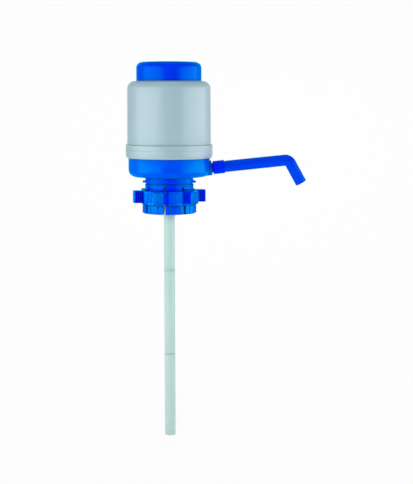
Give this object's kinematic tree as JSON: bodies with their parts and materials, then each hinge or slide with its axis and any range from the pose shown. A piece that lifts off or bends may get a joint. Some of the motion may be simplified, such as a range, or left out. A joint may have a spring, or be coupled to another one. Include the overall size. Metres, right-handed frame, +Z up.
{
  "type": "bottle pump",
  "caption": "Manual press pump for a large water bottle: press cap over a bellows, swivelling spout, slotted neck collet with a cam ring, and a dip tube.",
  "frame": {"origin": "centre of the plane where the gasket seats on the bottle's mouth", "axes": "+Z up the pump's axis, +X towards the spout at rest, -Y towards the camera"},
  "size_m": [0.2336, 0.1124, 0.4908],
  "materials": {
    "blue_plastic": "saturated blue, satin gloss",
    "grey_plastic": "pale blue-grey, fine satin",
    "white_plastic": "natural white, satin",
    "tube_plastic": "milky translucent",
    "bellows_plastic": "milky white, waxy",
    "silicone": "pale silicone",
    "gasket_rubber": "dark blue-grey rubber",
    "screw_steel": "plain steel"
  },
  "bodies": {
    "pump_body": {"housing": "grey_plastic", "base": "blue_plastic", "collet": "blue_plastic", "dip_tube_upper": "tube_plastic", "dip_tube_middle": "tube_plastic", "dip_tube_lower": "tube_plastic", "bellows": "bellows_plastic", "air_plate": "white_plastic", "air_valve": "silicone", "clamp_ring": "white_plastic", "clamp_screw_1": "screw_steel", "clamp_screw_2": "screw_steel", "clamp_screw_3": "screw_steel", "clamp_screw_4": "screw_steel", "water_elbow": "white_plastic", "riser": "white_plastic", "riser_o_ring": "silicone", "collet_seal": "silicone", "neck_gasket": "gasket_rubber", "tube_coupler_upper": "white_plastic", "tube_coupler_middle": "white_plastic"},
    "press": {"press_cap": "blue_plastic", "bellows_head": "white_plastic", "intake_valve": "silicone"},
    "spout": {"spout_adapter": "blue_plastic", "spout_tube": "blue_plastic", "spout_o_ring_outer": "silicone", "spout_o_ring_inner": "silicone"},
    "ring": {"lock_ring": "blue_plastic"}
  },
  "joints": [
    {"name": "press_slide", "type": "slide", "parent": "pump_body", "child": "press", "axis": [0, 0, -1], "range_m": [0, 0.02], "stiffness_N_per_m": 800, "springref_m": -0.005, "deforming": ["bellows"]},
    {"name": "spout_swivel", "type": "hinge", "parent": "pump_body", "child": "spout", "pos_m": [0.0554, 0, 0.02403], "axis": [0.9947, 0, 0.1028], "continuous": true},
    {"name": "ring_turn", "type": "hinge", "parent": "pump_body", "child": "ring", "pos_m": [0, 0, -0.0048], "axis": [0, 0, 1], "range_deg": [0, 36]}
  ]
}
